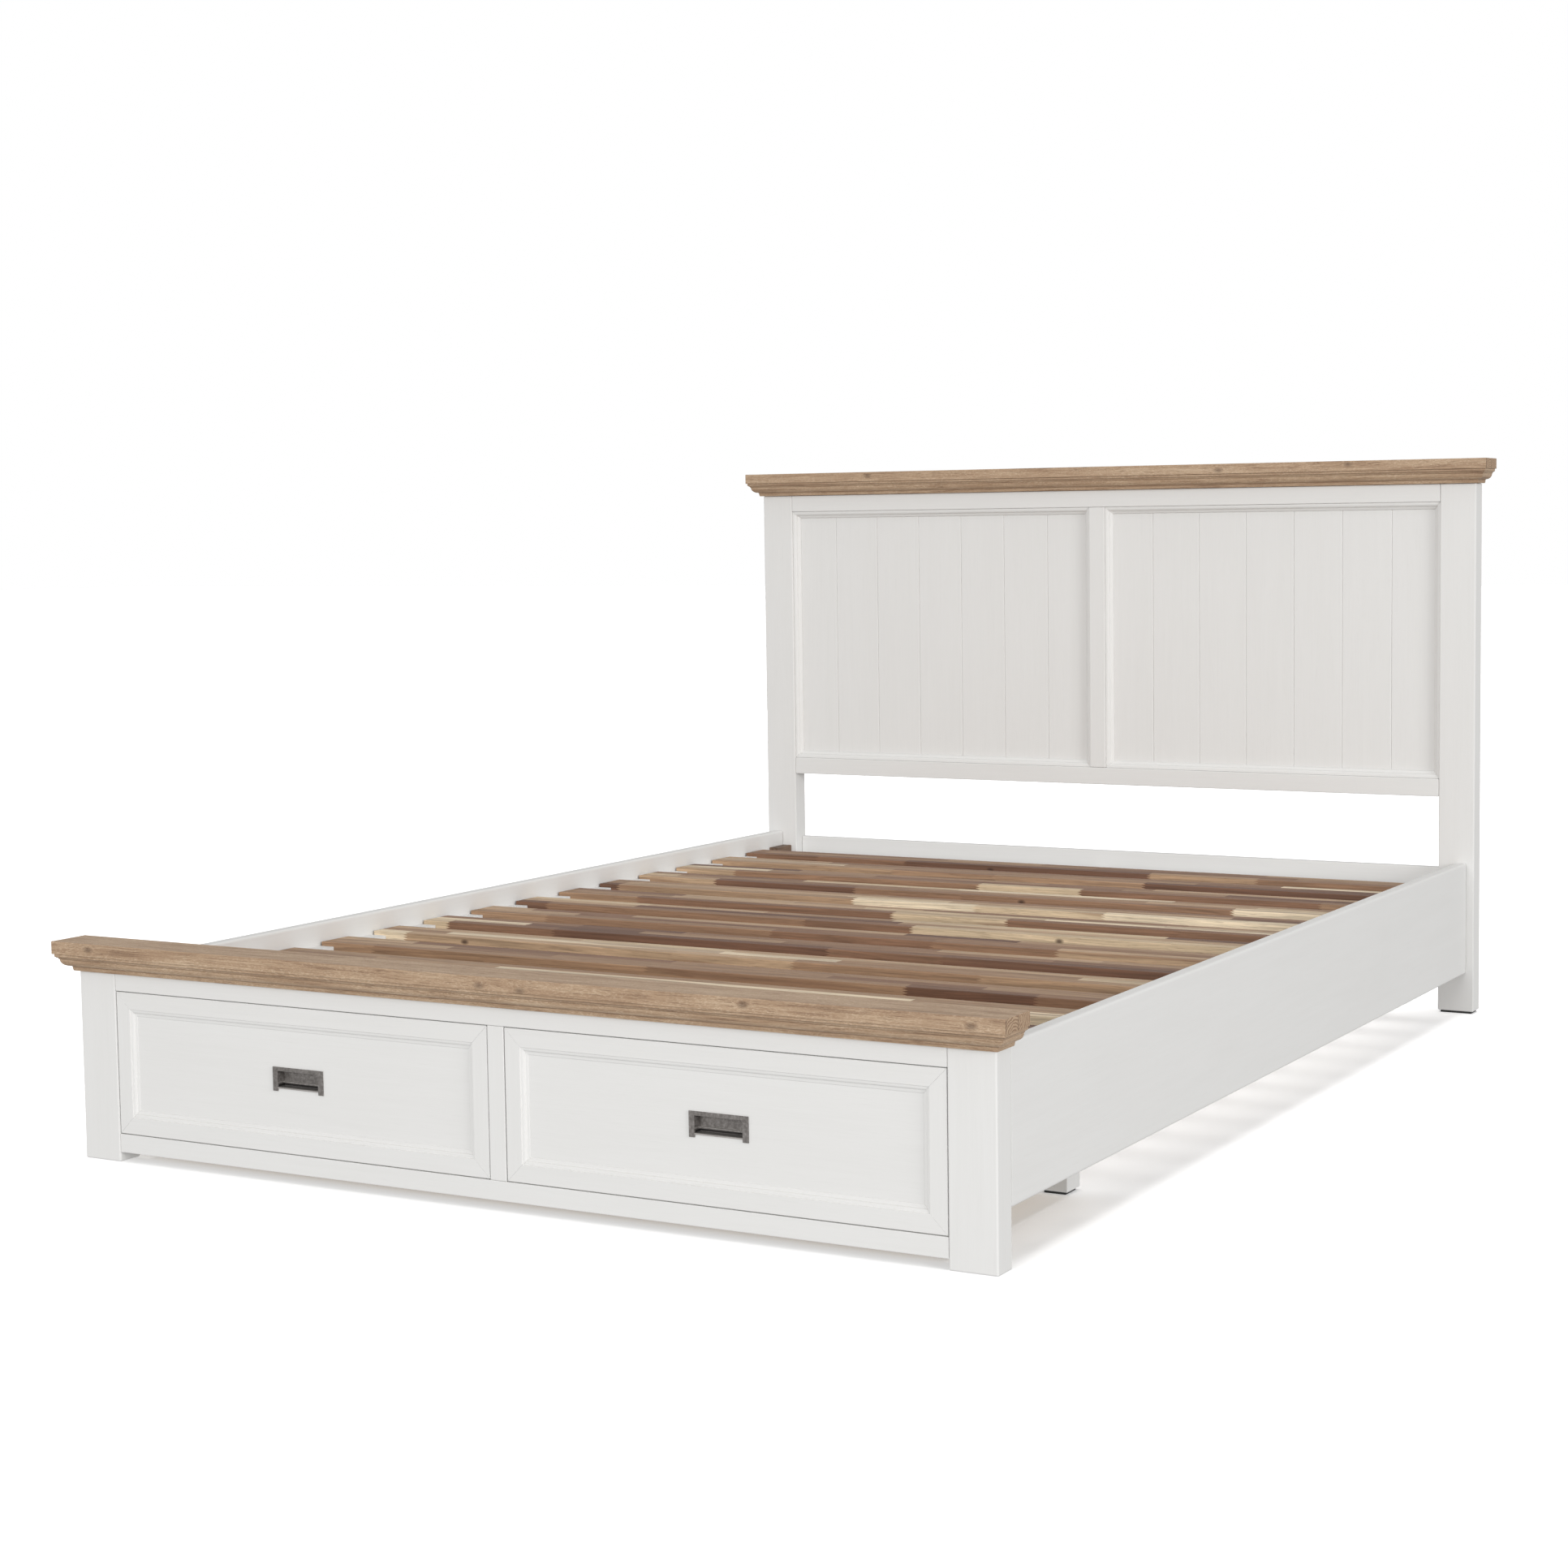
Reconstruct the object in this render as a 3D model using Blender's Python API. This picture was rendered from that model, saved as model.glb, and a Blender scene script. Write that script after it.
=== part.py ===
"""White-painted wooden bed frame with a panelled headboard and two foot-end drawers.

Frame: metres, +Z up, the foot end faces -Y, the headboard stands at +Y, and the
origin is on the floor at the middle of the bed's bounding box.
"""

from math import cos, pi, sin

import bmesh
import bpy

# ---------------------------------------------------------------- driving dimensions
SEAM = 0.0003                # gap left between pieces that touch

BED_REACH = 2.080            # foot posts' front face to headboard posts' front face
SLEEP_HALF = 0.760           # half of the clear width between the side rails

POST_WIDTH = 0.071
POST_DEPTH = 0.041
FOOT_HALF = 0.783            # outer side of the foot posts
HEAD_HALF = 0.797            # outer side of the headboard posts
RAIL_SETBACK = 0.0006        # cross members sit this far behind the posts' faces
MEMBER_DEPTH = 0.036         # thickness of the cross members, front to back

CAP_BOARD = 0.020            # height of the cap's square-edged top board
CAP_HEIGHT = 0.047           # board and moulding together
CAP_OVERHANG = 0.030         # past the front faces of the posts
CAP_SIDE = 0.028             # past the outer sides of the posts
FOOT_CAP_TOP = 0.339
HEAD_CAP_TOP = 1.079

DRAWER_SILL = 0.0436         # top of the foot end's bottom rail
DRAWER_LINTEL = 0.2646       # underside of the foot end's top rail
FOOT_RAIL_LOW = 0.015        # lower edge of the bottom rail
FOOT_STILE_HALF = 0.014

PANEL_LOW = 0.459            # headboard panels' opening
PANEL_HIGH = 0.997
HEAD_LOW_RAIL = 0.424        # lower edge of the headboard's lower rail
HEAD_STILE_HALF = 0.0175
BOARDS_PER_PANEL = 7
GROOVE_DEPTH = 0.0030
GROOVE_HALF = 0.0022
PANEL_RECESS = 0.016
PANEL_THICK = 0.010
BEAD_WIDTH = 0.014
BEAD_RECESS = 0.0035

CROSS_LOW = 0.200            # headboard cross rail behind the slats
CROSS_HIGH = 0.283
CROSS_SETBACK = 0.024

SIDE_RAIL_LOW = 0.080
SIDE_RAIL_HIGH = 0.296
SIDE_RAIL_OUT = 0.7825

SLAT_COUNT = 14
SLAT_FIRST = 0.113           # front edge of the first slat, behind the foot's face
SLAT_PITCH = 0.1388
SLAT_WIDTH = 0.070
SLAT_THICK = 0.018
SLAT_TOP = 0.264
SLAT_HALF = 0.757
CLEAT_WIDTH = 0.030
CLEAT_TOP = 0.257
CLEAT_LOW = 0.205
BLOCK_WIDTH = 0.021
BLOCK_LENGTH = 0.060

GLIDE = 0.004
LEG_SIZE = 0.044
CAGE_LEG_IN = 0.642          # inner side of the legs behind the drawers
CAGE_LEG_FRONT = 0.423
BEAM_HALF = 0.0125
BEAM_LOW = 0.190
CENTRE_LEG_FRONT = 1.240

SHELF_HALF = 0.690
SHELF_THICK = 0.012
DRAWER_GAP = 0.002           # reveal round each drawer front
DRAWER_FACE = 0.001          # drawer front's setback from the posts' face
DRAWER_FRONT = 0.022
DRAWER_FRAME = 0.025         # flat border of the drawer front
DRAWER_DISH = 0.006          # depth of the drawer front's field
DRAWER_END = 0.400           # back of the drawer box, behind the foot's face
DRAWER_SIDE = 0.012
DRAWER_SIDE_TOP = 0.215
DRAWER_SIDE_IN = 0.026       # inner side of the box, from the bed's centre line
DRAWER_SIDE_OUT = 0.688
DRAWER_BOTTOM = 0.006

PULL_WIDTH = 0.094
PULL_HEIGHT = 0.036
PULL_PLATE = 0.002
PULL_POCKET_WIDTH = 0.076
PULL_POCKET_HEIGHT = 0.0244
PULL_POCKET_DEPTH = 0.016
PULL_WALL = 0.0015
PULL_RIDGE = 0.0040          # depth of the ridge along the pocket's back
PULL_CLEAR = 0.0005          # gap round the pocket in the drawer front

FRONT = -(BED_REACH + POST_DEPTH - CAP_OVERHANG) / 2     # foot posts' front face in Y
HEAD = FRONT + BED_REACH                                 # headboard posts' front face
FOOT_IN = FOOT_HALF - POST_WIDTH
HEAD_IN = HEAD_HALF - POST_WIDTH
FOOT_CAP_LOW = FOOT_CAP_TOP - CAP_HEIGHT
HEAD_CAP_LOW = HEAD_CAP_TOP - CAP_HEIGHT
DRAWER_CENTRE = (FOOT_STILE_HALF + FOOT_IN) / 2
UNDER_SLATS = SLAT_TOP - SLAT_THICK - SEAM

SIDES = (("left", -1), ("right", 1))


# ---------------------------------------------------------------- scene and materials
def clear_scene():
    for thing in list(bpy.data.objects):
        bpy.data.objects.remove(thing, do_unlink=True)


def make_material(name, colour, roughness, metallic=0.0):
    material = bpy.data.materials.new(name)
    material.use_nodes = True
    shader = material.node_tree.nodes["Principled BSDF"]
    shader.inputs["Base Color"].default_value = (*colour, 1.0)
    shader.inputs["Roughness"].default_value = roughness
    shader.inputs["Metallic"].default_value = metallic
    return material


clear_scene()
PAINT = make_material("white_paint", (0.74, 0.73, 0.71), 0.45)
CAP_WOOD = make_material("cap_wood", (0.27, 0.17, 0.10), 0.55)
SLAT_WOOD = make_material("slat_wood", (0.30, 0.17, 0.09), 0.60)
DARK_WOOD = make_material("block_wood", (0.06, 0.03, 0.02), 0.60)
DRAWER_WOOD = make_material("drawer_wood", (0.55, 0.42, 0.27), 0.55)
PEWTER = make_material("pewter", (0.12, 0.11, 0.105), 0.50, 0.85)
GLIDE_PLASTIC = make_material("glide_plastic", (0.015, 0.015, 0.015), 0.50)


def make_empty(name, location, parent=None):
    empty = bpy.data.objects.new(name, None)
    empty.location = location
    bpy.context.scene.collection.objects.link(empty)
    empty.parent = parent
    return empty


BED = make_empty("bed_frame", (0.0, 0.0, 0.0))
SLIDES = {
    side: make_empty(side + "_drawer_slide", (sign * DRAWER_CENTRE, FRONT, DRAWER_SILL), BED)
    for side, sign in SIDES
}


# ---------------------------------------------------------------- mesh helpers
def add_piece(name, points, faces, material, parent=BED, bevel=0.0, segments=2, hidden=False):
    """An object with its own origin at the middle of its points."""
    middle = [sum(axis) / len(points) for axis in zip(*points)]
    mesh = bpy.data.meshes.new(name)
    mesh.from_pydata([[p - m for p, m in zip(point, middle)] for point in points], [], faces)
    work = bmesh.new()
    work.from_mesh(mesh)
    bmesh.ops.recalc_face_normals(work, faces=work.faces)
    work.to_mesh(mesh)
    work.free()
    mesh.materials.append(material)
    piece = bpy.data.objects.new(name, mesh)
    bpy.context.scene.collection.objects.link(piece)
    piece.parent = parent
    piece.location = [m - origin for m, origin in zip(middle, parent.location)]
    if hidden:
        piece.hide_render = True
        piece.display_type = "WIRE"
    if bevel:
        soft = piece.modifiers.new("soft_edges", "BEVEL")
        soft.width = bevel
        soft.segments = segments
        soft.limit_method = "ANGLE"
    return piece


def block(name, x, y, z, material, **options):
    """A rectangular bar between pairs of limits; y is counted from the foot posts' face."""
    points = [(px, FRONT + py, pz) for px in x for py in y for pz in z]
    faces = [(0, 1, 3, 2), (4, 6, 7, 5), (0, 4, 5, 1), (2, 3, 7, 6), (0, 2, 6, 4), (1, 5, 7, 3)]
    return add_piece(name, points, faces, material, **options)


def loft(name, loops, material, closed=False, **options):
    """A solid through four-cornered loops, capped at both ends or joined end to end."""
    points = [point for loop in loops for point in loop]
    pairs = list(zip(range(len(loops)), range(1, len(loops))))
    if closed:
        pairs.append((len(loops) - 1, 0))
    faces = [
        (4 * a + k, 4 * a + (k + 1) % 4, 4 * b + (k + 1) % 4, 4 * b + k)
        for a, b in pairs
        for k in range(4)
    ]
    if not closed:
        last = 4 * (len(loops) - 1)
        faces += [(3, 2, 1, 0), (last, last + 1, last + 2, last + 3)]
    return add_piece(name, points, faces, material, **options)


def upright_loop(x, z, y):
    """A rectangle standing in the XZ plane at depth y behind the foot posts' face."""
    corners = ((x[0], z[0]), (x[1], z[0]), (x[1], z[1]), (x[0], z[1]))
    return [(cx, FRONT + y, cz) for cx, cz in corners]


def prism(name, outline, direction, span, material, **options):
    """An outline swept along X or Z; the outline holds the other two coordinates in order."""
    spot = {
        "x": lambda a, b, s: (s, FRONT + a, b),
        "z": lambda a, b, s: (a, FRONT + b, s),
    }[direction]
    count = len(outline)
    points = [spot(a, b, s) for s in span for a, b in outline]
    faces = [tuple(range(count)), tuple(range(count, 2 * count))]
    faces += [(k, (k + 1) % count, count + (k + 1) % count, count + k) for k in range(count)]
    return add_piece(name, points, faces, material, **options)


def mirrored(limits, sign):
    return tuple(sorted(sign * value for value in limits))


# ---------------------------------------------------------------- caps
def cap_profile():
    """(inset from the board's edge, height under the board's top) down the moulded edge."""
    steps = [(0.0015, 0.0), (0.0, 0.0015), (0.0, CAP_BOARD)]
    steps += [(0.003, CAP_BOARD), (0.003, CAP_BOARD + 0.006)]
    cove_start = (0.007, CAP_BOARD + 0.0065)
    cove = 0.012
    for k in range(5):
        turn = k / 4 * pi / 2
        steps.append((cove_start[0] + cove * (1 - cos(turn)), cove_start[1] + cove * sin(turn)))
    steps.append((0.022, CAP_BOARD + 0.0185))
    steps.append((0.022, CAP_HEIGHT))
    return steps


def build_cap(name, half, face, top):
    """A moulded board: square top edge, small steps and a cove on the front and both ends."""
    back = FRONT + face + POST_DEPTH
    loops = []
    for inset, drop in cap_profile():
        wide = half + CAP_SIDE - inset
        front = FRONT + face - CAP_OVERHANG + inset
        z = top - drop
        loops.append([(-wide, front, z), (wide, front, z), (wide, back, z), (-wide, back, z)])
    return loft(name, loops, CAP_WOOD)


# ---------------------------------------------------------------- headboard
def build_head_posts():
    for side, sign in SIDES:
        block(
            "headboard_post_" + side,
            mirrored((HEAD_IN, HEAD_HALF), sign),
            (BED_REACH, BED_REACH + POST_DEPTH),
            (GLIDE + SEAM, HEAD_CAP_LOW - SEAM),
            PAINT,
            bevel=0.0020,
        )
        block(
            "headboard_glide_" + side,
            mirrored((HEAD_IN + 0.005, HEAD_HALF - 0.005), sign),
            (BED_REACH + 0.004, BED_REACH + POST_DEPTH - 0.004),
            (0.0, GLIDE),
            GLIDE_PLASTIC,
        )


def build_head_rails():
    depth = (BED_REACH + RAIL_SETBACK, BED_REACH + RAIL_SETBACK + MEMBER_DEPTH)
    across = (-HEAD_IN + SEAM, HEAD_IN - SEAM)
    block("headboard_top_rail", across, depth, (PANEL_HIGH, HEAD_CAP_LOW - SEAM), PAINT, bevel=0.0015)
    block("headboard_lower_rail", across, depth, (HEAD_LOW_RAIL, PANEL_LOW), PAINT, bevel=0.0015)
    block(
        "headboard_mid_stile",
        (-HEAD_STILE_HALF, HEAD_STILE_HALF),
        depth,
        (PANEL_LOW + SEAM, PANEL_HIGH - SEAM),
        PAINT,
        bevel=0.0015,
    )
    block(
        "headboard_cross_rail",
        across,
        (BED_REACH + CROSS_SETBACK, BED_REACH + POST_DEPTH - 0.001),
        (CROSS_LOW, CROSS_HIGH),
        PAINT,
        bevel=0.0020,
    )


def panel_opening(sign):
    return mirrored((HEAD_STILE_HALF + SEAM, HEAD_IN - SEAM), sign)


def build_grooved_panel(name, x):
    """Upright boards side by side, shown by a V-groove at each meeting line."""
    front = BED_REACH + PANEL_RECESS
    pitch = (x[1] - x[0]) / BOARDS_PER_PANEL
    outline = [(x[0], front + PANEL_THICK), (x[0], front)]
    for k in range(1, BOARDS_PER_PANEL):
        line = x[0] + k * pitch
        outline += [(line - GROOVE_HALF, front), (line, front + GROOVE_DEPTH), (line + GROOVE_HALF, front)]
    outline += [(x[1], front), (x[1], front + PANEL_THICK)]
    prism(name, outline, "z", (PANEL_LOW + SEAM, PANEL_HIGH - SEAM), PAINT)


def bead_profile():
    """(inset from the opening's edge, depth behind the posts' face) from outside to inside."""
    back = PANEL_RECESS - SEAM
    steps = [(0.0, back), (0.0, BEAD_RECESS), (0.0020, BEAD_RECESS)]
    for k in range(1, 4):
        turn = k / 3 * pi / 2
        steps.append((0.0020 + 0.0060 * sin(turn), BEAD_RECESS + 0.0050 * (1 - cos(turn))))
    steps += [(0.0085, BEAD_RECESS + 0.0070), (BEAD_WIDTH - 0.0010, BEAD_RECESS + 0.0095)]
    return steps + [(BEAD_WIDTH, back)]


def build_bead(name, x):
    """A mitred moulding that frames one panel and holds it against the rebate."""
    z = (PANEL_LOW + SEAM, PANEL_HIGH - SEAM)
    loops = [
        upright_loop((x[0] + inset, x[1] - inset), (z[0] + inset, z[1] - inset), BED_REACH + depth)
        for inset, depth in bead_profile()
    ]
    loft(name, loops, PAINT, closed=True)


def build_headboard():
    build_head_posts()
    build_head_rails()
    build_cap("headboard_cap", HEAD_HALF, BED_REACH, HEAD_CAP_TOP)
    for side, sign in SIDES:
        build_grooved_panel("headboard_panel_" + side, panel_opening(sign))
        build_bead("headboard_bead_" + side, panel_opening(sign))


# ---------------------------------------------------------------- foot end
def build_foot_end():
    for side, sign in SIDES:
        block(
            "foot_post_" + side,
            mirrored((FOOT_IN, FOOT_HALF), sign),
            (0.0, POST_DEPTH),
            (0.0, FOOT_CAP_LOW - SEAM),
            PAINT,
            bevel=0.0020,
        )
    depth = (RAIL_SETBACK, RAIL_SETBACK + MEMBER_DEPTH)
    across = (-FOOT_IN + SEAM, FOOT_IN - SEAM)
    block("foot_top_rail", across, depth, (DRAWER_LINTEL, FOOT_CAP_LOW - SEAM), PAINT, bevel=0.0010)
    block("foot_bottom_rail", across, depth, (FOOT_RAIL_LOW, DRAWER_SILL), PAINT, bevel=0.0010)
    block(
        "foot_mid_stile",
        (-FOOT_STILE_HALF, FOOT_STILE_HALF),
        depth,
        (DRAWER_SILL + SEAM, DRAWER_LINTEL - SEAM),
        PAINT,
        bevel=0.0010,
    )
    build_cap("foot_cap", FOOT_HALF, 0.0, FOOT_CAP_TOP)


# ---------------------------------------------------------------- sides and slats
def slat_front(index):
    return SLAT_FIRST + index * SLAT_PITCH


def build_side_rails():
    for side, sign in SIDES:
        block(
            "side_rail_" + side,
            mirrored((SLEEP_HALF, SIDE_RAIL_OUT), sign),
            (POST_DEPTH + SEAM, BED_REACH - SEAM),
            (SIDE_RAIL_LOW, SIDE_RAIL_HIGH),
            PAINT,
            bevel=0.0040,
            segments=3,
        )


def build_cleat(name, x):
    """A batten along the rail with a pocket for each slat."""
    ends = (POST_DEPTH + 0.004, BED_REACH - BLOCK_LENGTH - SEAM)
    outline = [(ends[0], CLEAT_LOW), (ends[0], CLEAT_TOP)]
    for index in range(SLAT_COUNT):
        front = slat_front(index) - 0.0005
        back = front + SLAT_WIDTH + 0.0010
        outline += [(front, CLEAT_TOP), (front, UNDER_SLATS), (back, UNDER_SLATS), (back, CLEAT_TOP)]
    outline += [(ends[1], CLEAT_TOP), (ends[1], CLEAT_LOW)]
    prism(name, outline, "x", x, PAINT)


def build_slat_supports():
    rail_face = SLEEP_HALF - SEAM
    for side, sign in SIDES:
        build_cleat("slat_cleat_" + side, mirrored((rail_face - CLEAT_WIDTH, rail_face), sign))
        block(
            "corner_block_" + side,
            mirrored((rail_face - BLOCK_WIDTH, rail_face), sign),
            (BED_REACH - BLOCK_LENGTH, BED_REACH - SEAM),
            (0.215, SLAT_TOP + 0.001),
            DARK_WOOD,
            bevel=0.0015,
        )
    block(
        "centre_beam",
        (-BEAM_HALF, BEAM_HALF),
        (RAIL_SETBACK + MEMBER_DEPTH + SEAM, BED_REACH + CROSS_SETBACK - SEAM),
        (BEAM_LOW, UNDER_SLATS),
        PAINT,
        bevel=0.0015,
    )


def build_slats():
    for index in range(SLAT_COUNT):
        front = slat_front(index)
        block(
            "slat_%02d" % (index + 1),
            (-SLAT_HALF, SLAT_HALF),
            (front, front + SLAT_WIDTH),
            (SLAT_TOP - SLAT_THICK, SLAT_TOP),
            SLAT_WOOD,
            bevel=0.0015,
        )


def build_leg(name, x, front, top):
    block(name, x, (front, front + LEG_SIZE), (GLIDE + SEAM, top), PAINT, bevel=0.0015)
    block(
        name + "_glide",
        (x[0] + 0.005, x[1] - 0.005),
        (front + 0.005, front + LEG_SIZE - 0.005),
        (0.0, GLIDE),
        GLIDE_PLASTIC,
    )


def build_legs():
    for side, sign in SIDES:
        x = mirrored((CAGE_LEG_IN, CAGE_LEG_IN + LEG_SIZE), sign)
        build_leg("drawer_leg_" + side, x, CAGE_LEG_FRONT, UNDER_SLATS)
    build_leg("centre_leg", (-LEG_SIZE / 2, LEG_SIZE / 2), CENTRE_LEG_FRONT, BEAM_LOW - SEAM)


def build_drawer_shelf():
    """The board under both drawers, which they slide on."""
    block(
        "drawer_shelf",
        (-SHELF_HALF, SHELF_HALF),
        (RAIL_SETBACK + MEMBER_DEPTH + SEAM, CAGE_LEG_FRONT - SEAM),
        (DRAWER_SILL - SHELF_THICK, DRAWER_SILL),
        DRAWER_WOOD,
        bevel=0.0010,
    )


# ---------------------------------------------------------------- drawers
def drawer_front_profile():
    """(inset from the front's edge, depth behind the front's face) into the sunk field."""
    frame = DRAWER_FRAME
    return [
        (0.0, 0.0010),
        (0.0010, 0.0),
        (frame, 0.0),
        (frame + 0.0010, 0.0020),
        (frame + 0.0050, 0.0026),
        (frame + 0.0065, 0.0042),
        (frame + 0.0105, DRAWER_DISH),
    ]


def build_drawer_front(side, x, z, centre):
    """One slab with a flat border, a stepped moulding, a sunk field and the pull's hole."""
    face = DRAWER_FACE
    back = face + DRAWER_FRONT
    half_wide = PULL_POCKET_WIDTH / 2 + PULL_WALL + PULL_CLEAR
    half_high = PULL_POCKET_HEIGHT / 2 + PULL_WALL + PULL_CLEAR
    hole_x = (centre[0] - half_wide, centre[0] + half_wide)
    hole_z = (centre[1] - half_high, centre[1] + half_high)
    loops = [upright_loop(x, z, back)]
    for inset, depth in drawer_front_profile():
        inner_x = (x[0] + inset, x[1] - inset)
        inner_z = (z[0] + inset, z[1] - inset)
        loops.append(upright_loop(inner_x, inner_z, face + depth))
    loops.append(upright_loop(hole_x, hole_z, face + DRAWER_DISH))
    loops.append(upright_loop(hole_x, hole_z, back))
    loft(side + "_drawer_front", loops, PAINT, closed=True, parent=SLIDES[side])


def build_pull(side, centre):
    """A flush metal pull: a flat plate, and a finger pocket with a ridge along its back."""
    field = DRAWER_FACE + DRAWER_DISH
    plate_front = field - PULL_PLATE
    plate_back = field - SEAM

    def window(wide, high, y):
        x = (centre[0] - wide / 2, centre[0] + wide / 2)
        z = (centre[1] - high / 2, centre[1] + high / 2)
        return upright_loop(x, z, y)

    pocket_back = plate_front + PULL_POCKET_DEPTH
    tub = (PULL_POCKET_WIDTH + 2 * PULL_WALL, PULL_POCKET_HEIGHT + 2 * PULL_WALL)
    low = centre[1] - PULL_POCKET_HEIGHT / 2
    ridge_half = PULL_POCKET_WIDTH / 2 + PULL_WALL / 2
    loops = [
        window(*tub, pocket_back + PULL_WALL),
        window(*tub, plate_back),
        window(PULL_WIDTH, PULL_HEIGHT, plate_back),
        window(PULL_WIDTH, PULL_HEIGHT, plate_front + 0.0005),
        window(PULL_WIDTH - 0.001, PULL_HEIGHT - 0.001, plate_front),
        window(PULL_POCKET_WIDTH, PULL_POCKET_HEIGHT, plate_front),
        window(PULL_POCKET_WIDTH, PULL_POCKET_HEIGHT, pocket_back),
    ]
    pull = loft(side + "_drawer_pull", loops, PEWTER, parent=SLIDES[side])
    bar = block(
        side + "_pull_ridge",
        (centre[0] - ridge_half, centre[0] + ridge_half),
        (pocket_back - PULL_RIDGE, pocket_back + PULL_WALL / 2),
        (low + 0.0090, low + 0.0120),
        PEWTER,
        hidden=True,
    )
    join = pull.modifiers.new("ridge", "BOOLEAN")
    join.operation = "UNION"
    join.solver = "EXACT"
    join.object = bar


def build_drawer_box(side, sign):
    front_end = DRAWER_FACE + DRAWER_FRONT + SEAM
    slides = SLIDES[side]
    side_z = (DRAWER_SILL + SEAM, DRAWER_SIDE_TOP)
    inner = (DRAWER_SIDE_IN, DRAWER_SIDE_IN + DRAWER_SIDE)
    outer = (DRAWER_SIDE_OUT - DRAWER_SIDE, DRAWER_SIDE_OUT)
    for place, limits in (("inner", inner), ("outer", outer)):
        block(
            "%s_drawer_%s_side" % (side, place),
            mirrored(limits, sign),
            (front_end, DRAWER_END),
            side_z,
            DRAWER_WOOD,
            parent=slides,
            bevel=0.0010,
        )
    between = mirrored((inner[1] + SEAM, outer[0] - SEAM), sign)
    floor_low = DRAWER_SILL + 0.008
    floor_top = floor_low + DRAWER_BOTTOM
    block(
        side + "_drawer_bottom",
        between,
        (front_end, DRAWER_END),
        (floor_low, floor_top),
        DRAWER_WOOD,
        parent=slides,
    )
    block(
        side + "_drawer_back",
        between,
        (DRAWER_END - DRAWER_SIDE, DRAWER_END),
        (floor_top + SEAM, DRAWER_SIDE_TOP),
        DRAWER_WOOD,
        parent=slides,
        bevel=0.0010,
    )


def build_drawers():
    for side, sign in SIDES:
        x = mirrored((FOOT_STILE_HALF + DRAWER_GAP, FOOT_IN - DRAWER_GAP), sign)
        z = (DRAWER_SILL + DRAWER_GAP, DRAWER_LINTEL - DRAWER_GAP)
        centre = ((x[0] + x[1]) / 2, (z[0] + z[1]) / 2)
        build_drawer_front(side, x, z, centre)
        build_pull(side, centre)
        build_drawer_box(side, sign)


build_headboard()
build_foot_end()
build_side_rails()
build_slat_supports()
build_slats()
build_legs()
build_drawer_shelf()
build_drawers()
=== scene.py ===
"""Looks for the white-painted bed frame: finer pieces, procedural materials, light and camera."""

from math import cos, pi, radians, sin

import bmesh
import bpy
from mathutils import Matrix, Vector


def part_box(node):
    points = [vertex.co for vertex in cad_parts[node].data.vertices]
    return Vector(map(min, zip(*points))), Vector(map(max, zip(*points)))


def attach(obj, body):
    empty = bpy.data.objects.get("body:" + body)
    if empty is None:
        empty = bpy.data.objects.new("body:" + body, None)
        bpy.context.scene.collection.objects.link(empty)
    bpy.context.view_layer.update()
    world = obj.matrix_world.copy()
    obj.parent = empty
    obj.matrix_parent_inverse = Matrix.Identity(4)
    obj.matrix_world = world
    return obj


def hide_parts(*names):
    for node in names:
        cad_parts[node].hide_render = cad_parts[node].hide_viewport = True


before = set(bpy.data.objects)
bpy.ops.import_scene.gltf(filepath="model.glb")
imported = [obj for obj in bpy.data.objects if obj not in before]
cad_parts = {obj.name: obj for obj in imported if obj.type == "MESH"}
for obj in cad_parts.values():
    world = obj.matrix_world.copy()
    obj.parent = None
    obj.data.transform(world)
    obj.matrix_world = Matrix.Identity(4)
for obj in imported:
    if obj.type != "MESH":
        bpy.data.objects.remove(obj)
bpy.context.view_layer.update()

SIDES = ("left", "right")
SLATS = sorted(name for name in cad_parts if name.startswith("slat_") and name[5:].isdigit())

# ---------------------------------------------------------------- sizes, in metres
HAIR = 0.00005               # half of a closed glue line
CAP_BOARD = 0.020            # height of a cap's top board
CAP_OVERHANG = 0.030         # a cap's reach past the posts' faces
DRAWER_FRAME = 0.025         # flat border of a drawer front
DRAWER_DISH = 0.006          # depth of a drawer front's field
FRONT_FULL = 0.0008          # each edge of a drawer front stands past the CAD's, to narrow its gap
FRONT_MOULDING = 0.0110      # width of the stepped moulding inside a front's border
END_STRIP = 0.0355           # width of each strip glued into a cap's board
BEAD_WIDTH = 0.014
BOARDS_PER_PANEL = 7
BOARD_CHAMFER = 0.0011
PLATE_THICK = 0.0017         # pull's plate, as it stands out of the field
POCKET_HALF = 0.038
POCKET_HIGH = 0.0244
POCKET_WALL = 0.0015
RIDGE_LOW = 0.0042           # the ridge along the back of a pocket, above its floor
RIDGE_HIGH = 0.0068
RIDGE_REACH = 0.0040         # how far the ridge stands out of the pocket's back
BAR_DROP = 0.0018            # height of the bar below a pocket's mouth
PULL_SOFTNESS = 0.0007

FOOT_KNOTS = ((-0.735, 0.001), (-0.003, -0.003), (0.066, -0.006), (0.426, 0.001), (0.762, -0.002))
HEAD_KNOTS = ((-0.52, 0.002), (0.28, -0.003), (0.55, 0.003))

# ---------------------------------------------------------------- view
CAMERA_PLACE = (2.272, -4.0765, 0.944)
CAMERA_TURN = (27.785, -4.657, -0.612)       # degrees: left of +Y, down, and tilt
CAMERA_LENS = 62.0
CAMERA_SHIFT = (-0.0854, -0.0186)

# ---------------------------------------------------------------- light
FILL_FROM_ABOVE = 0.60
FILL_FROM_BELOW = 0.47
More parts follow.
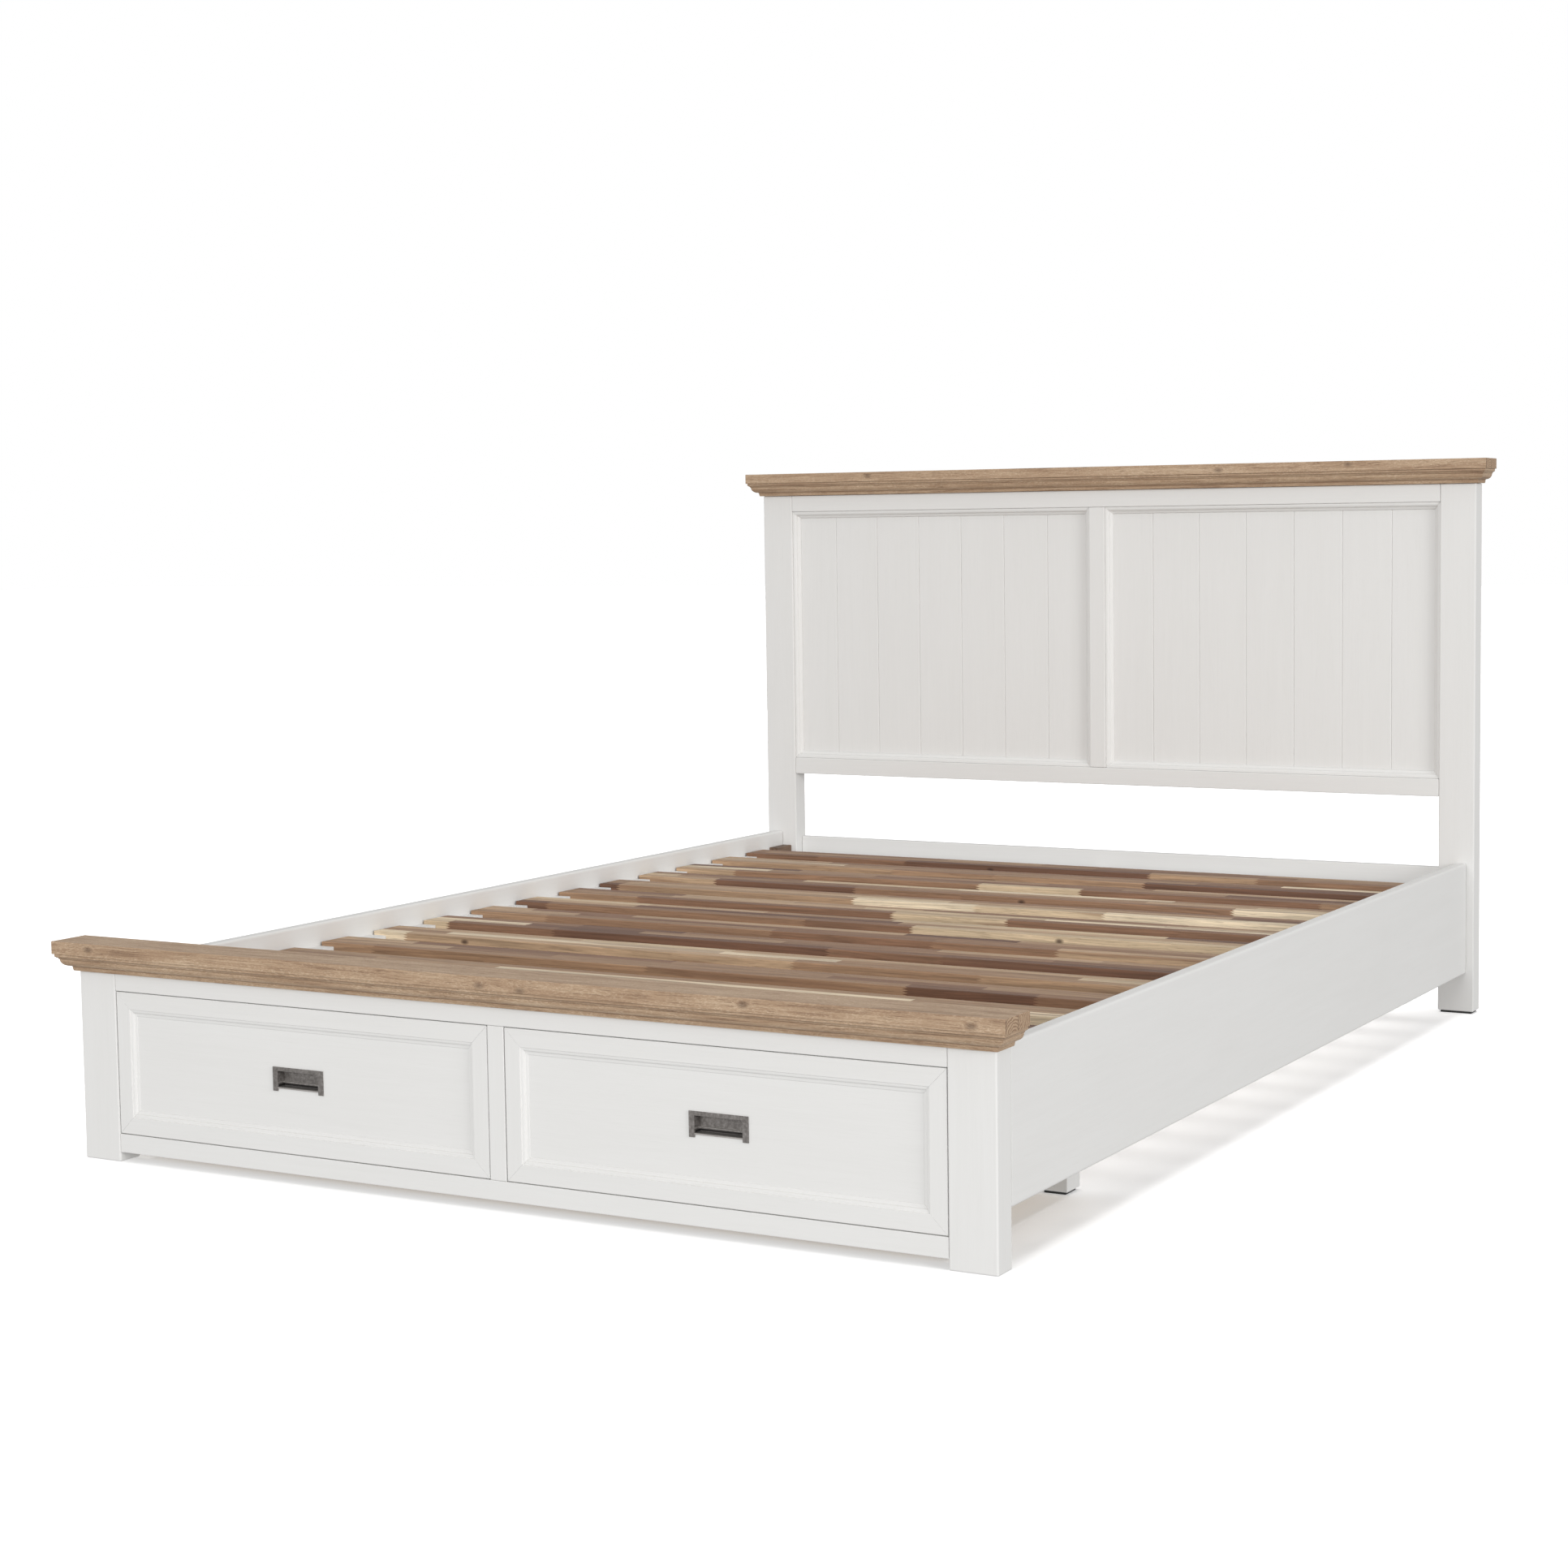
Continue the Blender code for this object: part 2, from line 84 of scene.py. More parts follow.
# Each softbox: its place, the point it faces, its width and height, its power.
SOFTBOXES = {
    "key": ((0.5, -9.6, 2.3), (0.0, -0.3, 0.4), (3.5, 2.5), 315.0),
    "side": ((10.0, -3.5, 2.3), (0.5, 0.0, 0.4), (3.5, 2.5), 410.0),
    "back": ((-7.0, 7.0, 0.9), (0.0, 0.0, 0.4), (3.5, 1.0), 170.0),
    "top": ((0.1, 0.1, 3.2), (0.1, 0.1, 0.0), (1.6, 1.6), 7.0),
}
FILL_BLEND = 0.3             # the fill changes between these slopes below and above level
FLOOR_WASH = 1.5
WASH_ANGLE = 32              # degrees across the overhead light, as the floor sees it
FLOOR_GLOW = 0.22
FLOOR_WHITE = (0.97, 0.97, 0.97)


# ---------------------------------------------------------------- shader helpers
class Shader:
    """A material on a Principled shader, with short calls for the nodes that feed it."""

    def __init__(self, name):
        self.material = bpy.data.materials.new(name)
        self.material.use_nodes = True
        tree = self.material.node_tree
        self.nodes = tree.nodes
        self.links = tree.links
        self.surface = tree.nodes["Principled BSDF"]
        self.place = self.node("ShaderNodeTexCoord").outputs["Object"]

    def feed(self, socket, value):
        if isinstance(value, bpy.types.NodeSocket):
            self.links.new(value, socket)
        elif socket.type == "RGBA" and len(value) == 3:
            socket.default_value = (*value, 1.0)
        else:
            socket.default_value = value

    def node(self, kind, inputs=None, **settings):
        node = self.nodes.new(kind)
        for key, value in settings.items():
            setattr(node, key, value)
        for key, value in (inputs or {}).items():
            self.feed(node.inputs[key], value)
        return node

    def math(self, operation, a, b=0.0, c=0.0):
        return self.node("ShaderNodeMath", {0: a, 1: b, 2: c}, operation=operation).outputs[0]

    def vector_math(self, operation, a, b):
        return self.node("ShaderNodeVectorMath", {0: a, 1: b}, operation=operation).outputs[0]

    def scaled(self, scale, vector=None):
        source = self.place if vector is None else vector
        return self.vector_math("MULTIPLY", source, scale)

    def noise(self, vector, scale, detail=3.0, roughness=0.55, distortion=0.0):
        inputs = {
            "Vector": vector,
            "Scale": scale,
            "Detail": detail,
            "Roughness": roughness,
            "Distortion": distortion,
        }
        return self.node("ShaderNodeTexNoise", inputs).outputs["Fac"]

    def split(self, vector=None):
        source = self.place if vector is None else vector
        node = self.node("ShaderNodeSeparateXYZ", {0: source})
        return node.outputs[0], node.outputs[1], node.outputs[2]

    def join(self, x, y, z):
        return self.node("ShaderNodeCombineXYZ", {0: x, 1: y, 2: z}).outputs[0]

    def random(self, vector):
        return self.node("ShaderNodeTexWhiteNoise", {"Vector": vector}).outputs["Value"]

    def remap(self, value, low, high, to_low=0.0, to_high=1.0):
        inputs = {0: value, 1: low, 2: high, 3: to_low, 4: to_high}
        return self.node("ShaderNodeMapRange", inputs).outputs[0]

    def ramp(self, value, stops, interpolation="LINEAR"):
        node = self.node("ShaderNodeValToRGB", {0: value})
        band = node.color_ramp
        band.interpolation = interpolation
        while len(band.elements) < len(stops):
            band.elements.new(0.5)
        for element, (place, colour) in zip(band.elements, stops):
            element.position = place
            element.color = (*colour, 1.0)
        return node.outputs[0]

    def mix(self, factor, a, b, blend="MIX"):
        node = self.node("ShaderNodeMix", data_type="RGBA", blend_type=blend)
        self.feed(node.inputs[0], factor)
        self.feed(node.inputs[6], a)
        self.feed(node.inputs[7], b)
        return node.outputs[2]

    def bump(self, height, distance, normal=None):
        node = self.node("ShaderNodeBump", {"Height": height, "Distance": distance})
        node.inputs["Strength"].default_value = 1.0
        if normal is not None:
            self.links.new(normal, node.inputs["Normal"])
        return node.outputs["Normal"]

    def finish(self, colour, roughness, normal=None, **fixed):
        self.feed(self.surface.inputs["Base Color"], colour)
        self.feed(self.surface.inputs["Roughness"], roughness)
        if normal is not None:
            self.links.new(normal, self.surface.inputs["Normal"])
        for key, value in fixed.items():
            self.surface.inputs[key.replace("_", " ")].default_value = value
        return self.material


def along(axis, across, lengthwise):
    """A scale that stretches a pattern along the named axis."""
    return tuple(lengthwise if letter == axis else across for letter in "xyz")


# ---------------------------------------------------------------- materials
PAINT_DULL = (0.775, 0.769, 0.752)
PAINT_WHITE = (0.790, 0.784, 0.768)
PAINT_BRIGHT = (0.803, 0.798, 0.784)


def painted_wood(axis):
    """White satin paint, brushed along the grain, with the wood's pores just showing."""
    s = Shader("white_paint_" + axis)
    strokes = s.noise(s.scaled(along(axis, 1.0, 0.025)), 260.0, 3.0, 0.6)
    pores = s.noise(s.scaled(along(axis, 1.0, 0.045)), 620.0, 2.0, 0.5)
    waves = s.noise(s.scaled(along(axis, 1.0, 0.10)), 34.0, 4.0, 0.6, 0.6)
    clouds = s.noise(s.place, 5.0, 2.0, 0.5)
    peel = s.noise(s.place, 900.0, 1.0, 0.4)
    tone = s.math("MULTIPLY_ADD", strokes, 0.45, s.math("MULTIPLY", waves, 0.55))
    colour = s.ramp(tone, [(0.30, PAINT_DULL), (0.52, PAINT_WHITE), (0.75, PAINT_BRIGHT)])
    pore_lines = s.remap(pores, 0.28, 0.40, 0.05, 0.0)
    colour = s.mix(pore_lines, colour, (0.52, 0.51, 0.49))
    colour = s.mix(s.remap(clouds, 0.35, 0.65, 0.0, 0.04), colour, (0.70, 0.69, 0.66))
    height = s.math("MULTIPLY_ADD", strokes, 0.7, s.math("MULTIPLY", pores, 0.5))
    height = s.math("ADD", height, s.math("MULTIPLY", peel, 0.15))
    roughness = s.remap(strokes, 0.3, 0.7, 0.46, 0.60)
    return s.finish(colour, roughness, s.bump(height, 0.00012), Specular_IOR_Level=0.3)


def knots(s, places, across, size):
    """1 at the heart of each knot, falling to 0, with the grain's axis drawn out."""
    total = None
    for x, other in places:
        dx = s.math("MULTIPLY", s.math("SUBTRACT", s.split()[0], x), 0.55)
        dy = s.math("SUBTRACT", across, other)
        far = s.math("SQRT", s.math("ADD", s.math("MULTIPLY", dx, dx), s.math("MULTIPLY", dy, dy)))
        one = s.remap(far, 0.0, size, 1.0, 0.0)
        total = one if total is None else s.math("MAXIMUM", total, one)
    return total


CAP_DARK = (0.155, 0.088, 0.050)
CAP_MID = (0.385, 0.250, 0.155)
CAP_LIGHT = (0.490, 0.345, 0.225)
CAP_PALE = (0.660, 0.510, 0.360)
KNOT_HEART = (0.080, 0.045, 0.028)
# How dark the painted shadow lines along a cap's seam and moulding steps are.
STEP_SHADOW_STRENGTH = 0.40


def weathered_wood(name, axis, knot_places=(), knot_height=0.0, step_shadow_heights=()):
    """Brown limed wood: fine grain along the board, pale flecks, small knots, painted shadow lines along
    the moulding's steps.
    """
    s = Shader(name)
    x, y, z = s.split()
    run = {"x": x, "y": y}[axis]
    side = {"x": y, "y": x}[axis]
    bend = s.noise(s.scaled(along(axis, 1.0, 0.16)), 10.0, 3.0, 0.5)
    if knot_places:
        heart = knots(s, knot_places, s.math("SUBTRACT", z, knot_height), 0.010)
        bend = s.math("MULTIPLY_ADD", heart, 0.07, bend)
    drift = s.math("MULTIPLY", bend, 0.045)
    across = s.math("ADD", z, drift)
    depth = s.math("ADD", side, drift)
    rings = s.noise(s.join(s.math("MULTIPLY", run, 0.022), depth, across), 300.0, 4.0, 0.7)
    fibres = s.noise(s.join(s.math("MULTIPLY", run, 0.030), depth, across), 900.0, 2.0, 0.6)
    flecks = s.noise(s.join(s.math("MULTIPLY", run, 0.22), depth, across), 900.0, 2.0, 0.6, 0.8)
    bands = s.noise(s.join(s.math("MULTIPLY", run, 0.10), depth, across), 60.0, 2.0, 0.5)
    tone = s.math("MULTIPLY_ADD", rings, 0.70, s.math("MULTIPLY", bands, 0.30))
    colour = s.ramp(tone, [(0.30, CAP_DARK), (0.43, CAP_MID), (0.58, CAP_LIGHT), (0.80, CAP_PALE)])
    patches = s.remap(bands, 0.35, 0.60, 0.25, 1.0)
    limed = s.math("MULTIPLY", s.remap(flecks, 0.50, 0.62, 0.0, 0.75), patches)
    colour = s.mix(limed, colour, CAP_PALE)
    colour = s.mix(s.remap(fibres, 0.34, 0.44, 0.50, 0.0), colour, CAP_DARK)
    # Painted shadow lines: thin dark bands at the given heights, where the seam and the moulding's steps
    # lie in shade.
    for height in step_shadow_heights:
        far = s.math("ABSOLUTE", s.math("SUBTRACT", z, height))
        colour = s.mix(s.remap(far, 0.0002, 0.0012, STEP_SHADOW_STRENGTH, 0.0), colour, CAP_DARK)
    if knot_places:
        colour = s.mix(s.remap(heart, 0.35, 0.85, 0.0, 0.55), colour, KNOT_HEART)
    relief = s.math("MULTIPLY_ADD", fibres, 0.6, s.math("MULTIPLY", rings, 0.6))
    roughness = s.remap(fibres, 0.3, 0.7, 0.64, 0.50)
    return s.finish(colour, roughness, s.bump(relief, 0.0004), Specular_IOR_Level=0.4)


def end_grain(name, front, low):
    """Sawn ends of a cap's two glued strips: growth rings round a heart below the board."""
    s = Shader(name)
    y, z = s.split()[1:]
    strip_place = s.math("DIVIDE", s.math("SUBTRACT", y, front), END_STRIP)
    column = s.math("FLOOR", strip_place)
    local = s.math("MULTIPLY", s.math("FRACT", strip_place), END_STRIP)
    heart_y = s.math("MULTIPLY_ADD", s.random(s.join(column, 3.0, 1.0)), 0.030, -0.004)
    wobble = s.math("MULTIPLY", s.noise(s.place, 55.0, 3.0, 0.6), 0.012)
    dy = s.math("SUBTRACT", local, heart_y)
    dz = s.math("SUBTRACT", z, s.math("MULTIPLY_ADD", column, 0.022, low - 0.006))
    far = s.math("SQRT", s.math("ADD", s.math("MULTIPLY", dy, dy), s.math("MULTIPLY", dz, dz)))
    rings = s.math("SINE", s.math("MULTIPLY", s.math("ADD", far, wobble), 1500.0))
    specks = s.noise(s.place, 1000.0, 3.0, 0.7)
    tone = s.math("MULTIPLY_ADD", rings, 0.24, s.remap(specks, 0.3, 0.7, 0.25, 0.75))
    colour = s.ramp(tone, [(0.10, CAP_DARK), (0.42, CAP_MID), (0.70, CAP_LIGHT), (0.95, CAP_PALE)])
    edge = s.math("ABSOLUTE", s.math("SUBTRACT", s.math("FRACT", strip_place), 0.5))
    colour = s.mix(s.remap(edge, 0.465, 0.5, 0.0, 0.85), colour, KNOT_HEART)
    height = s.math("MULTIPLY_ADD", specks, 0.8, s.math("MULTIPLY", rings, 0.15))
    return s.finish(colour, 0.72, s.bump(height, 0.0006))


STAVE_TONES = [
    (0.00, (0.165, 0.080, 0.047)),
    (0.10, (0.360, 0.220, 0.130)),
    (0.21, (0.245, 0.130, 0.075)),
    (0.33, (0.640, 0.490, 0.320)),
    (0.43, (0.420, 0.270, 0.162)),
    (0.56, (0.800, 0.660, 0.470)),
    (0.64, (0.300, 0.170, 0.098)),
    (0.76, (0.520, 0.355, 0.220)),
    (0.88, (0.390, 0.240, 0.142)),
]
STAVE_GRAIN = (0.120, 0.068, 0.040)
STAVE_KNOT = (0.055, 0.026, 0.016)
SLATS_PER_KNOT = 3
STAVE_LENGTH = 0.36
STAVE_ROWS = 3
FINGER_PITCH = 0.0042
FINGER_REACH = 0.010


def stave_number(s, slat_low, slat_high, seed):
    """A random number for each stave: rows side by side, finger joints between ends."""
    x, y, z = s.split()
    width = (slat_high[1] - slat_low[1] + 0.001) / STAVE_ROWS
    row = s.math("FLOOR", s.math("DIVIDE", s.math("SUBTRACT", y, slat_low[1] - 0.0005), width))
    row = s.math("ADD", row, seed * 5.0)
    tooth = s.math("PINGPONG", s.math("SUBTRACT", z, slat_low[2]), FINGER_PITCH / 2)
    reach = s.math("MULTIPLY", tooth, 2 * FINGER_REACH / FINGER_PITCH)
    shift = s.math("MULTIPLY", s.random(s.join(row, 7.0, 2.0)), 5.0)
    run = s.math("ADD", s.math("DIVIDE", s.math("ADD", x, reach), STAVE_LENGTH), shift)
    uneven = s.math("SINE", s.math("MULTIPLY_ADD", row, 1.7, s.math("MULTIPLY", run, 2.6)))
    run = s.math("MULTIPLY_ADD", uneven, 0.30, run)
    stave = s.math("FLOOR", run)
    return s.random(s.join(row, stave, 5.0))


def slat_knot(s, slat_low, slat_high, seed):
    """Strongest at the heart of a small knot in a slat's front edge, fading to 0 round it."""
    knot_x = (seed * 0.31) % 1.2 - 0.6
    heart = (knot_x, slat_low[1] + 0.004, slat_high[2] - 0.008)
    offset = s.vector_math("SUBTRACT", s.place, heart)
    squeezed = s.vector_math("MULTIPLY", offset, (0.55, 0.6, 1.0))
    far = s.node("ShaderNodeVectorMath", {0: squeezed}, operation="LENGTH").outputs["Value"]
    return s.remap(far, 0.0028, 0.0060, 0.85, 0.0)


def staved_wood(name, slat_low, slat_high, seed):
    """Oiled staves of mixed tones, glued edge to edge and finger-jointed end to end."""
    s = Shader(name)
    x, y, z = s.split()
    pick = stave_number(s, slat_low, slat_high, seed)
    base = s.ramp(pick, STAVE_TONES, "CONSTANT")
    bend = s.math("MULTIPLY", s.noise(s.scaled((0.16, 1.0, 1.0)), 9.0, 2.0, 0.5), 0.035)
    own = s.join(
        s.math("MULTIPLY_ADD", pick, 31.0, s.math("MULTIPLY", x, 0.016)),
        s.math("ADD", s.math("ADD", y, pick), bend),
        s.math("ADD", z, bend),
    )
    rings = s.noise(own, 190.0, 3.0, 0.65, 0.4)
    fibres = s.noise(s.scaled((0.035, 1.0, 1.0)), 800.0, 3.0, 0.6)
    heartwood = s.noise(s.vector_math("MULTIPLY", own, (2.0, 1.0, 1.0)), 42.0, 1.0, 0.5)
    streak = s.remap(rings, 0.32, 0.68, 0.66, 1.26)
    colour = s.mix(1.0, base, s.join(streak, streak, streak), "MULTIPLY")
    colour = s.mix(s.remap(heartwood, 0.60, 0.64, 0.0, 0.50), colour, STAVE_TONES[2][1])
    colour = s.mix(s.remap(fibres, 0.32, 0.46, 0.40, 0.0), colour, STAVE_GRAIN)
    if seed % SLATS_PER_KNOT == 1:
        colour = s.mix(slat_knot(s, slat_low, slat_high, seed), colour, STAVE_KNOT)
    height = s.math("MULTIPLY_ADD", fibres, 0.6, s.math("MULTIPLY", rings, 0.4))
    roughness = s.remap(fibres, 0.3, 0.7, 0.62, 0.48)
    return s.finish(colour, roughness, s.bump(height, 0.0003), Specular_IOR_Level=0.35)


def plain_wood(name, dark, light, axis):
    """Sawn wood with a clear or dark finish, grain along the named axis."""
    s = Shader(name)
    rings = s.noise(s.scaled(along(axis, 1.0, 0.05)), 120.0, 4.0, 0.6, 0.8)
    fibres = s.noise(s.scaled(along(axis, 1.0, 0.03)), 800.0, 2.0, 0.6)
    colour = s.ramp(rings, [(0.30, dark), (0.70, light)])
    colour = s.mix(s.remap(fibres, 0.30, 0.44, 0.30, 0.0), colour, dark)
    roughness = s.remap(rings, 0.3, 0.7, 0.50, 0.62)
    return s.finish(colour, roughness, s.bump(fibres, 0.0003))


PEWTER_TONES = [(0.30, (0.170, 0.156, 0.146)), (0.55, (0.262, 0.244, 0.231)), (0.75, (0.370, 0.348, 0.332))]
# Painted shade for a pull's hollow.
PEWTER_SHADOW_BLACK = (0.012, 0.010, 0.010)
# Painted highlight for a pull's ridge and bar.
PEWTER_HIGHLIGHT = (0.62, 0.59, 0.56)


def cast_pewter(low, high):
    """Dark cast metal with a pitted skin, with painted shade in its hollow and painted highlights on ridge
    and bar.
    """
    s = Shader("cast_pewter")
    x, y, z = s.split()
    pits = s.noise(s.place, 750.0, 4.0, 0.65)
    lumps = s.noise(s.place, 230.0, 3.0, 0.6)
    floor = (low[2] + high[2] - POCKET_HIGH) / 2
    # Painted shade: the pocket is coloured near black behind its mouth and low by its floor, where the
    # ridge's shadow falls.
    deep = s.remap(y, low[1] + 0.0016, low[1] + 0.0030)
    near_floor = s.remap(z, floor + 0.0032, floor + 0.0050, 1.0, 0.0)
    black = s.math("MULTIPLY", s.math("MULTIPLY", deep, near_floor), 0.88)
    colour = s.mix(black, s.ramp(lumps, PEWTER_TONES), PEWTER_SHADOW_BLACK)
    pull_middle = (low[0] + high[0]) / 2
    sideways = s.math("ABSOLUTE", s.math("SUBTRACT", s.math("ABSOLUTE", x), abs(pull_middle)))
    between_legs = s.math("LESS_THAN", sideways, POCKET_HALF)
    # Painted highlights: pale bands along the bar's lower edge and the ridge's top, between the legs.
    for height, reach, highlight_strength in ((floor - 0.0008, 0.0014, 0.55), (floor + 0.0066, 0.0010, 0.40)):
        far = s.math("ABSOLUTE", s.math("SUBTRACT", z, height))
        painted_highlight = s.math("MULTIPLY", s.remap(far, reach / 2, reach, highlight_strength, 0.0), between_legs)
        colour = s.mix(painted_highlight, colour, PEWTER_HIGHLIGHT)
    roughness = s.remap(pits, 0.3, 0.7, 0.40, 0.60)
    height = s.math("MULTIPLY_ADD", pits, 0.6, s.math("MULTIPLY", lumps, 0.4))
    return s.finish(colour, roughness, s.bump(height, 0.0004), Metallic=0.7)


def black_plastic():
    """Moulded black plastic with a fine spark-eroded skin."""
    s = Shader("black_plastic")
    grain = s.noise(s.place, 1400.0, 2.0, 0.6)
    scuffs = s.noise(s.place, 90.0, 3.0, 0.6)
    colour = s.ramp(scuffs, [(0.35, (0.012, 0.012, 0.012)), (0.75, (0.030, 0.029, 0.028))])
    return s.finish(colour, s.remap(scuffs, 0.3, 0.7, 0.42, 0.60), s.bump(grain, 0.0001))


PAINT = {axis: painted_wood(axis) for axis in "xyz"}
PEWTER = cast_pewter(*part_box("left_drawer_pull"))
PLASTIC = black_plastic()
BOX_TONES = ((0.42, 0.29, 0.16), (0.62, 0.47, 0.29))
BOX_WOOD_X = plain_wood("drawer_wood_x", *BOX_TONES, "x")
BOX_WOOD_Y = plain_wood("drawer_wood_y", *BOX_TONES, "y")
BLOCK_WOOD = plain_wood("dark_block_wood", (0.080, 0.044, 0.026), (0.210, 0.130, 0.080), "y")


# ---------------------------------------------------------------- mesh helpers
def soften(piece, width, segments, angle):
    """Rounds the edges that turn by more than the angle, in degrees."""
    soft = piece.modifiers.new("soft_edges", "BEVEL")
    soft.width = width
    soft.segments = segments
    soft.limit_method = "ANGLE"
    soft.angle_limit = radians(angle)
    soft.harden_normals = True


def add_piece(name, points, faces, materials, bevel=0.0, segments=3, shares=None):
    """A closed mesh in the bed's own frame; shares gives each face its material's number."""
    mesh = bpy.data.meshes.new(name)
    mesh.from_pydata(points, [], faces)
    for material in materials:
        mesh.materials.append(material)
    if shares:
        mesh.polygons.foreach_set("material_index", shares)
    work = bmesh.new()
    work.from_mesh(mesh)
    bmesh.ops.recalc_face_normals(work, faces=work.faces)
    work.to_mesh(mesh)
    work.free()
    piece = bpy.data.objects.new(name, mesh)
    bpy.context.scene.collection.objects.link(piece)
    if bevel:
        soften(piece, bevel, segments, 35)
    return piece


def block(name, low, high, materials, bevel=0.0, segments=3, end_material=None):
    points = [(x, y, z) for x in (low[0], high[0]) for y in (low[1], high[1]) for z in (low[2], high[2])]
    faces = [(0, 1, 3, 2), (4, 6, 7, 5), (0, 4, 5, 1), (2, 3, 7, 6), (0, 2, 6, 4), (1, 5, 7, 3)]
    shares = None
    if end_material:
        materials = [*materials, end_material]
        shares = [1, 1, 0, 0, 0, 0]
    return add_piece(name, points, faces, materials, bevel, segments, shares)


def strip(name, start, end, material, bevel=0.0, segments=2):
    """A bar between two copies of one outline, such as a length of moulding."""
    count = len(start)
    faces = [tuple(range(count)), tuple(range(count, 2 * count))]
    faces += [(k, (k + 1) % count, count + (k + 1) % count, count + k) for k in range(count)]
    return add_piece(name, [*start, *end], faces, [material], bevel, segments)


def tunnel(name, loops, material, closed, bevel=0.0, segments=2):
    """A solid through four-cornered loops, joined end to end or capped."""
    points = [point for loop in loops for point in loop]
    pairs = list(zip(range(len(loops)), range(1, len(loops))))
    if closed:
        pairs.append((len(loops) - 1, 0))
    faces = [
        (4 * a + k, 4 * a + (k + 1) % 4, 4 * b + (k + 1) % 4, 4 * b + k)
        for a, b in pairs
        for k in range(4)
    ]
    if not closed:
        last = 4 * (len(loops) - 1)
        faces += [(3, 2, 1, 0), (last, last + 1, last + 2, last + 3)]
    return add_piece(name, points, faces, [material], bevel, segments)


def upright_loop(low_x, high_x, low_z, high_z, y):
    return [(low_x, y, low_z), (high_x, y, low_z), (high_x, y, high_z), (low_x, y, high_z)]


def mitred_frame(name, low, high, face, outline, bevel=0.0):
    """Four bars mitred round a rectangle; the outline is (inset, depth behind the face)."""
    made = []
    for end, upper in (("bottom", False), ("top", True)):
        rows = []
        for x, turn in ((low[0], 1), (high[0], -1)):
            rows.append([
                (x + turn * (inset + HAIR), face + depth, high[2] - inset if upper else low[2] + inset)
                for inset, depth in outline
            ])
        made.append(strip(name + "_" + end, *rows, PAINT["x"], bevel))
    for end, right in (("left_side", False), ("right_side", True)):
        rows = []
        for z, turn in ((low[2], 1), (high[2], -1)):
            rows.append([
                (high[0] - inset if right else low[0] + inset, face + depth, z + turn * (inset + HAIR))
                for inset, depth in outline
            ])
        made.append(strip(name + "_" + end, *rows, PAINT["z"], bevel))
    return made


def adopt(pieces, body, slot, *nodes):
    """The pieces move with a body and stand for the CAD nodes; the slot is not used."""
    for piece in pieces:
        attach(piece, body)
        if nodes:
            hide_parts(*nodes)


# ---------------------------------------------------------------- caps
def moulding_outline(low):
    """(inset from the board's edge, height) round a moulding: fillet, reed, cove and foot."""
    top = low + 0.027 - HAIR
    outline = [(CAP_OVERHANG, top), (0.0030, top), (0.0030, top - 0.0040)]
    for k in range(5):
        turn = k / 4 * pi / 2
        outline.append((0.0050 + 0.0022 * sin(turn), top - 0.0055 - 0.0022 * (1 - cos(turn))))
    for k in range(7):
        turn = k / 6 * pi / 2
        outline.append((0.0085 + 0.0110 * (1 - cos(turn)), top - 0.0085 - 0.0110 * sin(turn)))
    outline += [(0.0215, top - 0.0205), (0.0215, top - 0.0225), (0.0225, top - 0.0265), (0.0225, low)]
    return [*outline, (CAP_OVERHANG, low)]


def build_cap(node, knot_places):
    """A thick top board over a mitred moulding that returns along both ends."""
    low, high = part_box(node)
    seam = high[2] - CAP_BOARD
    board_wood = weathered_wood(node + "_board_wood", "x", knot_places, seam + CAP_BOARD / 2)
    # Heights of the painted shadow lines: the board's seam and the moulding's steps below it.
    step_shadow_heights = [seam, seam - 0.0045, seam - 0.0080, seam - 0.0208]
    front_wood = weathered_wood(node + "_moulding_wood", "x", step_shadow_heights=step_shadow_heights)
    side_wood = weathered_wood(node + "_return_wood", "y", step_shadow_heights=step_shadow_heights)
    ends = end_grain(node + "_end_grain", low[1] + 0.0004, seam)
    board = block(node + "_board", (low[0], low[1], seam + HAIR), high, [board_wood], 0.0011, 3, ends)
    outline = moulding_outline(low[2])
    front_rows = [
        [(x + turn * (inset + HAIR), low[1] + inset, z) for inset, z in outline]
        for x, turn in ((low[0], 1), (high[0], -1))
    ]
    pieces = [board, strip(node + "_moulding_front", *front_rows, front_wood, 0.0004)]
    for side, x, turn in (("left", low[0], 1), ("right", high[0], -1)):
        rows = [
            [(x + turn * inset, y, z) for (inset, z), y in zip(outline, places)]
            for places in ([low[1] + point[0] + HAIR for point in outline], [high[1]] * len(outline))
        ]
        pieces.append(strip(node + "_moulding_" + side, *rows, side_wood, 0.0004))
    inner = CAP_OVERHANG + HAIR
    core_low = (low[0] + inner, low[1] + inner, low[2])
    core_high = (high[0] - inner, high[1], seam - HAIR)
    pieces.append(block(node + "_core", core_low, core_high, [front_wood], 0.0005, 2))
    adopt(pieces, "frame", "cap_wood", node)


# ---------------------------------------------------------------- headboard panels and beads
def build_panels():
    """Seven tongued boards to a panel, their meeting edges chamfered."""
    for side in SIDES:
        node = "headboard_panel_" + side
        low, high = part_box(node)
        pitch = (high[0] - low[0]) / BOARDS_PER_PANEL
        pieces = []
        for k in range(BOARDS_PER_PANEL):
            left = low[0] + k * pitch + (HAIR if k else 0.0)
            right = low[0] + (k + 1) * pitch - (HAIR if k < BOARDS_PER_PANEL - 1 else 0.0)
            flank = low[1] + BOARD_CHAMFER
            outline = [(left, high[1]), (left, flank), (left + BOARD_CHAMFER, low[1])]
            outline += [(right - BOARD_CHAMFER, low[1]), (right, flank), (right, high[1])]
            rows = [[(x, y, z) for x, y in outline] for z in (low[2], high[2])]
            pieces.append(strip(f"{node}_board_{k + 1}", *rows, PAINT["z"], 0.0003))
        adopt(pieces, "frame", "white_paint", node)


